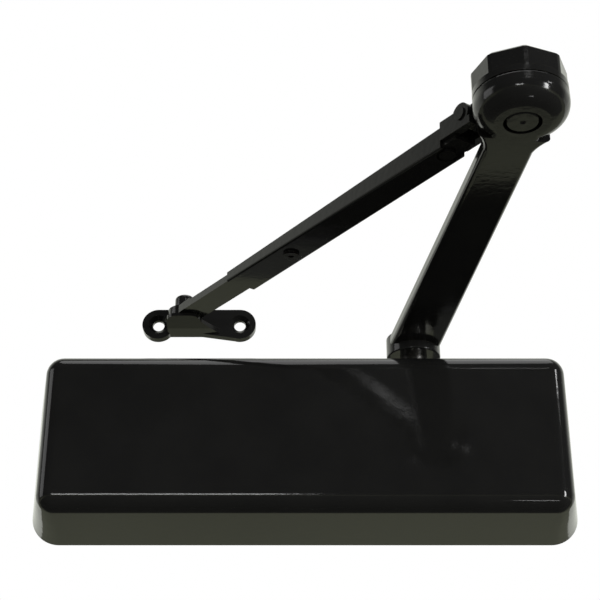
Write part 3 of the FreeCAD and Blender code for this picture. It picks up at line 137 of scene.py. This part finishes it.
def enamel_skin_group():
    """Orange peel, dust nibs and hand marks of a sprayed film, all from noise on the position."""
    inputs = {"Position": (0, 0, 0), "Peel size": 260.0, "Nibs": 0.5}
    tree, given, out = new_group("enamel_skin", inputs, ("Height", "Haze", "Tone"))
    place = given.outputs["Position"]
    peel = noise(tree, place, given.outputs["Peel size"], 2.0, 0.45)
    fine = noise(tree, place, maths(tree, "MULTIPLY", given.outputs["Peel size"], 5.3), 1.0)
    cell = node(tree, "ShaderNodeTexVoronoi", feature="F1")
    fill(tree, cell, Vector=place, Scale=95.0)
    nib = ramp(tree, cell.outputs["Distance"], 0.0, 0.055, 1.0, 0.0)
    chosen = ramp(tree, cell.outputs["Color"], 0.72, 0.74)
    nib = maths(tree, "MULTIPLY", maths(tree, "MULTIPLY", nib, chosen), given.outputs["Nibs"])
    height = maths(tree, "MULTIPLY_ADD", fine, 0.12, maths(tree, "ADD", peel, nib))
    wire(tree, height, out.inputs["Height"])
    smear = noise(tree, place, 14.0, 4.0, 0.6, 1.2)
    wire(tree, ramp(tree, smear, 0.42, 0.72), out.inputs["Haze"])
    wire(tree, ramp(tree, noise(tree, place, 33.0, 3.0), 0.3, 0.7), out.inputs["Tone"])
    return tree


def edge_wear_group():
    """Where an edge is sharp: the rounded normal leaves the true one, broken up by noise."""
    inputs = {"Position": (0, 0, 0), "Width": 0.0006, "Grip": 0.5}
    tree, given, out = new_group("edge_wear", inputs, ("Wear",))
    eased = node(tree, "ShaderNodeBevel", samples=6)
    wire(tree, given.outputs["Width"], eased.inputs["Radius"])
    true = node(tree, "ShaderNodeNewGeometry")
    dot = node(tree, "ShaderNodeVectorMath", operation="DOT_PRODUCT")
    wire(tree, eased.outputs["Normal"], dot.inputs[0])
    wire(tree, true.outputs["Normal"], dot.inputs[1])
    turn = maths(tree, "SUBTRACT", 1.0, dot.outputs["Value"])
    broken = maths(tree, "MULTIPLY", turn, noise(tree, given.outputs["Position"], 420.0, 5.0, 0.7))
    onset = maths(tree, "SUBTRACT", 0.12, maths(tree, "MULTIPLY", given.outputs["Grip"], 0.1))
    wire(tree, ramp(tree, broken, onset, 0.16), out.inputs["Wear"])
    return tree


enamel_skin = enamel_skin_group()
edge_wear = edge_wear_group()


def use_group(tree, group, **inputs):
    """Place a group in a material and set or wire its inputs."""
    made = node(tree, "ShaderNodeGroup", node_tree=group)
    return fill(tree, made, **inputs)


def new_material(name):
    """An empty material with its Principled shader and the object position."""
    material = bpy.data.materials.new(name)
    material.use_nodes = True
    tree = material.node_tree
    shader = next(n for n in tree.nodes if n.type == "BSDF_PRINCIPLED")
    place = node(tree, "ShaderNodeTexCoord").outputs["Object"]
    return material, tree, shader, place


def enamel(name, peel_height, peel_size, grip, roughness, deep=BLACK, thin=BLACK_THIN):
    """Baked black enamel over primed metal."""
    material, tree, shader, place = new_material(name)
    skin = use_group(tree, enamel_skin, Position=place, Peel_size=peel_size, Nibs=0.45)
    wear = use_group(tree, edge_wear, Position=place, Width=0.0007, Grip=grip).outputs["Wear"]
    body = blend_colour(tree, skin.outputs["Tone"], deep, thin)
    worn = maths(tree, "MULTIPLY", wear, 0.55)
    rough = maths(tree, "MULTIPLY_ADD", skin.outputs["Haze"], 0.05, roughness)
    relief = node(tree, "ShaderNodeBump")
    fill(tree, relief, Strength=1.0, Distance=peel_height, Height=skin.outputs["Height"])
    fill(tree, shader, Base_Color=blend_colour(tree, worn, body, PRIMER), IOR=ENAMEL_INDEX,
         Roughness=maths(tree, "MULTIPLY_ADD", worn, 0.25, rough), Normal=relief.outputs["Normal"])
    return material


def finish_node(material, *names):
    """Give CAD nodes one material."""
    for name in names:
        mesh = nodes[name].data
        mesh.materials.clear()
        mesh.materials.append(material)


finish_node(enamel("cover_gloss_enamel", COVER_PEEL, 230.0, 0.4, 0.075), "cover")


# ---------------------------------------------------------------- main arm
# The arm is one steel forging: a round hub with a square hole, a flat tapering bar and the elbow's dome.
# It is sprayed with the same black as the cover, over the forging's slightly uneven skin.
FORGED_PEEL = 0.00005
FORGING_DEPTH = 0.00005


def forging_relief_group():
    """Broad hammer-soft unevenness of a forged face, with a finer scale texture on it."""
    tree, given, out = new_group("forging_relief", {"Position": (0, 0, 0)}, ("Height",))
    broad = noise(tree, given.outputs["Position"], 46.0, 3.0, 0.5, 0.4)
    scale = noise(tree, given.outputs["Position"], 900.0, 3.0, 0.6)
    wire(tree, maths(tree, "MULTIPLY_ADD", scale, 0.12, broad), out.inputs["Height"])
    return tree


forging_relief = forging_relief_group()


def forged_enamel(name, roughness):
    """Black enamel over a forging: the enamel's own skin on top of the forging's unevenness."""
    material = enamel(name, FORGED_PEEL, 300.0, 0.6, roughness)
    tree = material.node_tree
    shader = next(n for n in tree.nodes if n.type == "BSDF_PRINCIPLED")
    place = next(n for n in tree.nodes if n.type == "TEX_COORD").outputs["Object"]
    skin_normal = shader.inputs["Normal"].links[0].from_socket
    under = node(tree, "ShaderNodeBump")
    uneven = use_group(tree, forging_relief, Position=place).outputs["Height"]
    fill(tree, under, Strength=1.0, Distance=FORGING_DEPTH, Height=uneven)
    wire(tree, under.outputs["Normal"], skin_normal.node.inputs["Normal"])
    return material


arm_black = forged_enamel("forged_arm_enamel", 0.11)
finish_node(arm_black, "main_arm")


# ---------------------------------------------------------------- arm screw, washer and cover screws
# Hardened screws and their washer are blackened in hot oxide: a thin blue-black film, oily and satin.
# It rubs through to grey steel on the drive's edges and the rims.
OXIDE = (0.012, 0.0125, 0.014, 1.0)
OXIDE_BROWN = (0.020, 0.016, 0.013, 1.0)
BARE_STEEL = (0.36, 0.355, 0.345, 1.0)


def blackened_steel(name, roughness, streak):
    """Black oxide on steel, mottled by the oil, worn to bare steel along the edges."""
    material, tree, shader, place = new_material(name)
    wear = use_group(tree, edge_wear, Position=place, Width=0.0004, Grip=0.85).outputs["Wear"]
    mottle = ramp(tree, noise(tree, place, 160.0, 4.0, 0.6), 0.35, 0.7)
    film = blend_colour(tree, mottle, OXIDE, OXIDE_BROWN)
    grain = noise(tree, place, streak, 3.0, 0.6)
    relief = node(tree, "ShaderNodeBump")
    fill(tree, relief, Strength=0.6, Distance=0.00002, Height=grain)
    fill(tree, shader, Base_Color=blend_colour(tree, wear, film, BARE_STEEL), Metallic=0.85,
         Roughness=maths(tree, "MULTIPLY_ADD", mottle, 0.14, roughness), Normal=relief.outputs["Normal"])
    return material


screw_black = blackened_steel("screw_black_oxide", 0.32, 900.0)
finish_node(screw_black, "arm_screw", "arm_washer", "cover_screws")


# ---------------------------------------------------------------- elbow
# A stud turns in the dome on a bronze bush. A faceted forged cap is pressed on its top end, and a round
# nut and a dished washer hold it from below. Cap and nut are sprayed black; the bearing faces are bare.
BRONZE = (0.46, 0.27, 0.12, 1.0)
BRONZE_DARK = (0.21, 0.11, 0.05, 1.0)
finish_node(forged_enamel("elbow_cap_enamel", 0.09), "elbow_cap", "elbow_nut")


def turned_marks_group():
    """Fine rings left by a lathe tool around one axis, broken by noise. Across is the radius or height."""
    inputs = {"Position": (0, 0, 0), "Across": 0.0, "Pitch": 9000.0}
    tree, given, out = new_group("turned_marks", inputs, ("Height", "Tone"))
    wander = maths(tree, "MULTIPLY", noise(tree, given.outputs["Position"], 120.0, 3.0), 0.0006)
    along = maths(tree, "ADD", given.outputs["Across"], wander)
    rings = maths(tree, "SINE", maths(tree, "MULTIPLY", along, given.outputs["Pitch"]))
    wire(tree, maths(tree, "MULTIPLY_ADD", rings, 0.5, 0.5), out.inputs["Height"])
    oil = ramp(tree, noise(tree, given.outputs["Position"], 60.0, 4.0, 0.6, 0.8), 0.4, 0.7)
    wire(tree, oil, out.inputs["Tone"])
    return tree


turned_marks = turned_marks_group()


def machined(name, clean, oiled, roughness, along):
    """Turned or ground metal: tool rings along one axis, an oil film in patches and bright worn edges."""
    material, tree, shader, place = new_material(name)
    split = node(tree, "ShaderNodeSeparateXYZ")
    fill(tree, split, Vector=place)
    marks = use_group(tree, turned_marks, Position=place, Across=split.outputs[along])
    wear = use_group(tree, edge_wear, Position=place, Width=0.0004, Grip=0.6).outputs["Wear"]
    body = blend_colour(tree, marks.outputs["Tone"], clean, oiled)
    bright = blend_colour(tree, 0.35, clean, (1.0, 1.0, 1.0, 1.0))
    relief = node(tree, "ShaderNodeBump")
    fill(tree, relief, Strength=0.5, Distance=0.00001, Height=marks.outputs["Height"])
    fill(tree, shader, Base_Color=blend_colour(tree, wear, body, bright), Metallic=1.0,
         Roughness=maths(tree, "MULTIPLY_ADD", marks.outputs["Tone"], -0.10, roughness),
         Normal=relief.outputs["Normal"])
    return material


bush_bronze = machined("bush_bronze", BRONZE, BRONZE_DARK, 0.36, "Z")
finish_node(bush_bronze, "elbow_bush", "elbow_thrust_washer")
finish_node(screw_black, "elbow_stud", "elbow_spring_washer")


# ---------------------------------------------------------------- knuckle
# The forearm tilts on a pin through two ears. The knuckle is a small steel forging, riveted into the
# channel's end. Pin and rivet heads are peened over and sprayed black with the rest.
knuckle_black = forged_enamel("knuckle_enamel", 0.12)
finish_node(knuckle_black, "forearm_knuckle", "knuckle_pin", "knuckle_rivet")


# ---------------------------------------------------------------- forearm
# The forearm is a channel pressed from steel sheet with a flat bar sliding in it, clamped by a screw and
# a square nut. The enamel over the rolled sheet is a little rougher than the cover's.
finish_node(enamel("pressed_channel_enamel", 0.00004, 320.0, 0.5, 0.10), "forearm_channel")
finish_node(enamel("flat_bar_enamel", 0.000045, 280.0, 0.6, 0.12), "forearm_bar")
clamp_black = blackened_steel("clamp_black_oxide", 0.36, 700.0)
finish_node(clamp_black, "forearm_clamp_screw", "forearm_clamp_nut")


# ---------------------------------------------------------------- frame shoe
# A forged steel plate with two countersunk holes and a block that carries the riveted pivot stud.
# It is sprayed black like the arm, and rubbed along its sharp edges.
finish_node(forged_enamel("frame_shoe_enamel", 0.12), "frame_shoe", "shoe_stud")


# ---------------------------------------------------------------- cast body
# The cylinder, its feet and the pinion's bosses are one grey iron casting, left with a dark primer
# outside. The sand leaves a coarse skin with small pits.
IRON = (0.040, 0.041, 0.043, 1.0)
IRON_DUSTY = (0.085, 0.080, 0.073, 1.0)
IRON_BARE = (0.30, 0.295, 0.285, 1.0)


def cast_iron():
    """Sand-cast skin: coarse grains, scattered pits and edges dressed bare with a file."""
    material, tree, shader, place = new_material("cast_iron_body")
    grains = noise(tree, place, 520.0, 5.0, 0.62)
    lumps = noise(tree, place, 70.0, 3.0, 0.5)
    pits = node(tree, "ShaderNodeTexVoronoi", feature="F1")
    fill(tree, pits, Vector=place, Scale=210.0)
    pit = ramp(tree, pits.outputs["Distance"], 0.0, 0.22, -0.6, 0.0)
    height = maths(tree, "ADD", maths(tree, "MULTIPLY_ADD", lumps, 1.4, grains), pit)
    wear = use_group(tree, edge_wear, Position=place, Width=0.0012, Grip=0.7).outputs["Wear"]
    dusty = blend_colour(tree, ramp(tree, grains, 0.42, 0.68), IRON, IRON_DUSTY)
    relief = node(tree, "ShaderNodeBump")
    fill(tree, relief, Strength=0.9, Distance=0.00025, Height=height)
    fill(tree, shader, Base_Color=blend_colour(tree, wear, dusty, IRON_BARE),
         Metallic=maths(tree, "MULTIPLY", wear, 0.9), Normal=relief.outputs["Normal"],
         Roughness=maths(tree, "MULTIPLY_ADD", grains, 0.3, 0.42))
    return material


finish_node(cast_iron(), "cylinder_body")


# ---------------------------------------------------------------- pinion, bearings and glands
# The pinion shaft and its bearing sleeves are hardened steel, ground to size; the gland nuts that keep
# them in the body are turned steel. All are left bare and oily.
STEEL = (0.56, 0.555, 0.545, 1.0)
STEEL_OILED = (0.30, 0.285, 0.255, 1.0)
shaft_steel = machined("ground_shaft_steel", STEEL, STEEL_OILED, 0.26, "Z")
finish_node(shaft_steel, "pinion_shaft", "upper_bearing", "lower_bearing", "upper_gland_nut",
            "lower_gland_nut")


# ---------------------------------------------------------------- piston and check valve
# The piston is a turned steel plug with the rack milled in its slot. A steel ball behind a pressed-in
# retainer in its end is the check valve that lets the oil back.
bore_steel = machined("turned_bore_steel", STEEL, STEEL_OILED, 0.30, "X")
finish_node(bore_steel, "rack_piston", "check_valve_ball", "check_valve_retainer")


# ---------------------------------------------------------------- main spring
# A compression spring of round wire lies between the seat and the piston, its end coils closed and
# ground. It is oil-tempered to a blue-black. In the closer it shortens as the piston comes towards it;
# this coil keeps its length at rest.
SPRING_TURNS = 15.0
SPRING_WIRE_RADIUS = 0.00274
CLOSED_TURNS = 1.0
CLOSED_RATE = 0.52
GROUND_SHARE = 0.15
RINGS_PER_TURN = 40
SIDES = 14


def box_of(name):
    """The low and high corner of a CAD node at rest."""
    placed = nodes[name]
    points = np.array([placed.matrix_world @ Vector(corner) for corner in placed.bound_box])
    return points.min(axis=0), points.max(axis=0)


def spring_points(low, high, wire_radius):
    """Centre line x = left + rise(t), y = axis + R cos a, z = axis + R sin a with a = 2 pi t, and around
    it a circle of the wire's radius in the plane of the coil's radius and X. The rise's rate drops to
    CLOSED_RATE at both ends, and x is kept within the two ground end faces."""
    coil = (high[2] - low[2]) / 2 - wire_radius
    axis_y, axis_z = (low[1] + high[1]) / 2, (low[2] + high[2]) / 2
    turn = np.linspace(0.0, SPRING_TURNS, int(SPRING_TURNS * RINGS_PER_TURN) + 1)
    open_share = np.clip(turn / CLOSED_TURNS, 0, 1) * np.clip((SPRING_TURNS - turn) / CLOSED_TURNS, 0, 1)
    rate = CLOSED_RATE + (1 - CLOSED_RATE) * open_share * open_share * (3 - 2 * open_share)
    rise = np.concatenate([[0.0], np.cumsum((rate[1:] + rate[:-1]) / 2)])
    span = high[0] - low[0] - 2 * wire_radius
    across = low[0] + wire_radius + span * rise / rise[-1]
    angle = 2 * np.pi * turn
    round_wire = np.linspace(0.0, 2 * np.pi, SIDES, endpoint=False)
    radius = coil + wire_radius * np.cos(round_wire)[None, :]
    x = across[:, None] + wire_radius * np.sin(round_wire)[None, :]
    x = np.clip(x, low[0] + GROUND_SHARE * wire_radius, high[0] - GROUND_SHARE * wire_radius)
    y = axis_y + radius * np.cos(angle)[:, None]
    z = axis_z + radius * np.sin(angle)[:, None]
    return np.stack([x, y, z], axis=-1)


def tube_mesh(name, grid):
    """A tube from rings of points, closed by a fan of one face at each end."""
    rings, sides = grid.shape[:2]
    number = np.arange(rings * sides).reshape(rings, sides)
    beside = np.roll(number, -1, axis=1)
    quads = np.stack([number[:-1], beside[:-1], beside[1:], number[1:]], axis=-1).reshape(-1, 4)
    faces = quads.tolist() + [number[0, ::-1].tolist(), number[-1].tolist()]
    mesh = bpy.data.meshes.new(name)
    mesh.from_pydata(grid.reshape(-1, 3).tolist(), [], faces)
    mesh.polygons.foreach_set("use_smooth", [True] * len(quads) + [False, False])
    made = bpy.data.objects.new(name, mesh)
    bpy.context.scene.collection.objects.link(made)
    return made


spring_low, spring_high = box_of("main_spring")
spring = tube_mesh("main_spring_coil", spring_points(spring_low, spring_high, SPRING_WIRE_RADIUS))
spring.data.materials.append(blackened_steel("spring_oil_tempered", 0.30, 400.0))
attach(spring, "closer_body")
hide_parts("main_spring")
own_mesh(spring)


# ---------------------------------------------------------------- spring seat, adjuster and end plugs
# Turned steel plugs are screwed into the bore's two ends. A screw through the spring's plug moves the
# turned seat that loads the spring. All are left bare and oily.
finish_node(bore_steel, "spring_seat", "power_adjust_screw", "spring_end_plug", "front_end_plug")


# ---------------------------------------------------------------- regulating valves
# Three turned brass needles with a screwdriver slot, set in the body's underside and dulled by oil.
# Each throttles the oil for one part of the door's swing.
VALVE_BRASS = (0.70, 0.52, 0.23, 1.0)
VALVE_BRASS_DULL = (0.33, 0.22, 0.09, 1.0)
valve_brass = machined("valve_brass", VALVE_BRASS, VALVE_BRASS_DULL, 0.30, "Z")
finish_node(valve_brass, "latch_valve", "sweep_valve", "backcheck_valve")


# ---------------------------------------------------------------- seals
# Lip seals and rings are moulded nitrile rubber: black and matt, with a grey bloom in patches.
# They are pressed into their seats and grooves.
NITRILE = (0.012, 0.012, 0.012, 1.0)
NITRILE_BLOOM = (0.045, 0.044, 0.042, 1.0)


def nitrile():
    """Moulded rubber: fine mould texture and a grey bloom in patches."""
    material, tree, shader, place = new_material("seal_rubber")
    bloom = ramp(tree, noise(tree, place, 110.0, 4.0, 0.6), 0.45, 0.75)
    relief = node(tree, "ShaderNodeBump")
    fill(tree, relief, Strength=0.5, Distance=0.00003, Height=noise(tree, place, 1500.0, 2.0))
    fill(tree, shader, Base_Color=blend_colour(tree, bloom, NITRILE, NITRILE_BLOOM),
         Roughness=maths(tree, "MULTIPLY_ADD", bloom, 0.2, 0.55), Normal=relief.outputs["Normal"])
    return material


finish_node(nitrile(), "upper_shaft_seal", "lower_shaft_seal", "end_plug_seals", "valve_seals")


# ---------------------------------------------------------------- stage
# A pale matt floor, and just above it a dark card that the camera doesn't see: the card keeps the rounded
# undersides deep black, and shades the floor under it. A bright wall of light stands behind, a dim room in
# front, and narrow soft boxes draw the thin lines along the rounded edges.
FLOOR_DROP = 0.40
FLOOR_REACH = 4.0
FLOOR_PALE = (0.50, 0.515, 0.385, 1.0)
FLOOR_CLOUD = (0.455, 0.47, 0.35, 1.0)
CARD_LIFT = 0.004
CARD_HALF_WIDTH = 1.6
CARD_FRONT, CARD_BACK = -2.4, 0.44
CARD_BLACK = (0.125, 0.125, 0.12, 1.0)
CARD_FIBRE = (0.11, 0.11, 0.105, 1.0)


def flat_sheet(name, half_width, front, back, height):
    """One level rectangle, facing up, from -half_width to half_width in X and from front to back in Y."""
    corners = [(-half_width, front, height), (half_width, front, height), (half_width, back, height),
               (-half_width, back, height)]
    sheet = bpy.data.objects.new(name, bpy.data.meshes.new(name))
    sheet.data.from_pydata(corners, [], [(0, 1, 2, 3)])
    bpy.context.scene.collection.objects.link(sheet)
    return sheet


floor_z = cad_low.z - FLOOR_DROP
floor = flat_sheet("floor", FLOOR_REACH, -FLOOR_REACH, FLOOR_REACH, floor_z)
floor_material, tree, shader, place = new_material("pale_floor")
cloudy = ramp(tree, noise(tree, place, 3.0, 4.0), 0.3, 0.7)
fill(tree, shader, Base_Color=blend_colour(tree, cloudy, FLOOR_PALE, FLOOR_CLOUD), Roughness=0.7)
floor.data.materials.append(floor_material)

card = flat_sheet("dark_card", CARD_HALF_WIDTH, CARD_FRONT, CARD_BACK, floor_z + CARD_LIFT)
card.visible_camera = False
card_material, tree, shader, place = new_material("dark_card")
fibres = ramp(tree, noise(tree, place, 40.0, 3.0), 0.3, 0.7)
fill(tree, shader, Base_Color=blend_colour(tree, fibres, CARD_BLACK, CARD_FIBRE), Roughness=0.9,
     Specular_IOR_Level=0.1)
card.data.materials.append(card_material)

WALL_GLOW = (0.86, 0.88, 0.80, 1.0)
ROOM_DIM = (0.055, 0.055, 0.055, 1.0)
world = bpy.data.worlds.new("studio")
bpy.context.scene.world = world
world.use_nodes = True
sky = world.node_tree
sky.nodes.clear()
way = node(sky, "ShaderNodeSeparateXYZ")
wire(sky, node(sky, "ShaderNodeTexCoord").outputs["Generated"], way.inputs[0])
behind = ramp(sky, way.outputs["Y"], 0.0, 0.6)
room = blend_colour(sky, behind, ROOM_DIM, WALL_GLOW)
lit = node(sky, "ShaderNodeBackground")
fill(sky, lit, Color=room, Strength=1.0)
plain = node(sky, "ShaderNodeBackground")
fill(sky, plain, Color=(1.0, 1.0, 1.0, 1.0), Strength=1.0)
choose = node(sky, "ShaderNodeMixShader")
seen = node(sky, "ShaderNodeLightPath").outputs["Is Camera Ray"]
fill(sky, choose, i0=seen, i1=lit.outputs[0], i2=plain.outputs[0])
wire(sky, choose.outputs[0], node(sky, "ShaderNodeOutputWorld").inputs["Surface"])


def soft_box(name, place, target, width, height, glow):
    """A rectangular light of a given brightness, aimed at a point."""
    lamp = bpy.data.lights.new(name, "AREA")
    lamp.shape, lamp.size, lamp.size_y = "RECTANGLE", width, height
    lamp.energy = glow * np.pi * width * height
    holder = bpy.data.objects.new(name, lamp)
    holder.location = place
    holder.rotation_euler = (Vector(target) - Vector(place)).to_track_quat("-Z", "Y").to_euler()
    bpy.context.scene.collection.objects.link(holder)


middle = (cad_low + cad_high) / 2
soft_box("low_left_strip", (-0.43, -3.1, -0.06), (0.0, 0.0, 0.0), 0.80, 0.22, 10.0)
soft_box("low_right_strip", (0.217, -0.427, -0.372), (0.15, -0.05, -0.05), 0.05, 0.02, 6.0)
soft_box("overhead", (0.2, -0.4, 2.4), middle, 2.2, 1.6, 1.6)
soft_box("left_fill", (-2.6, -0.5, 0.6), middle, 1.2, 1.6, 1.2)
soft_box("right_edge", (2.0, -1.9, 0.0), middle, 0.5, 1.4, 16.0)
soft_box("ceiling_strip_near", (0.55, -3.0, 1.85), middle, 0.55, 0.07, 14.0)
soft_box("ceiling_strip_right", (2.47, -1.64, 1.3), middle, 0.45, 0.12, 14.0)

CAMERA_PLACE = (-0.003, -0.795, -0.295)
CAMERA_TILT = 117.0
CAMERA_LENS = 84.5
camera = bpy.data.objects.new("camera", bpy.data.cameras.new("camera"))
camera.location = CAMERA_PLACE
camera.rotation_euler = (np.radians(CAMERA_TILT), 0.0, 0.0)
camera.data.lens = CAMERA_LENS
camera.data.clip_start = 0.01
bpy.context.scene.collection.objects.link(camera)
bpy.context.scene.camera = camera
bpy.context.scene.view_settings.view_transform = "Standard"
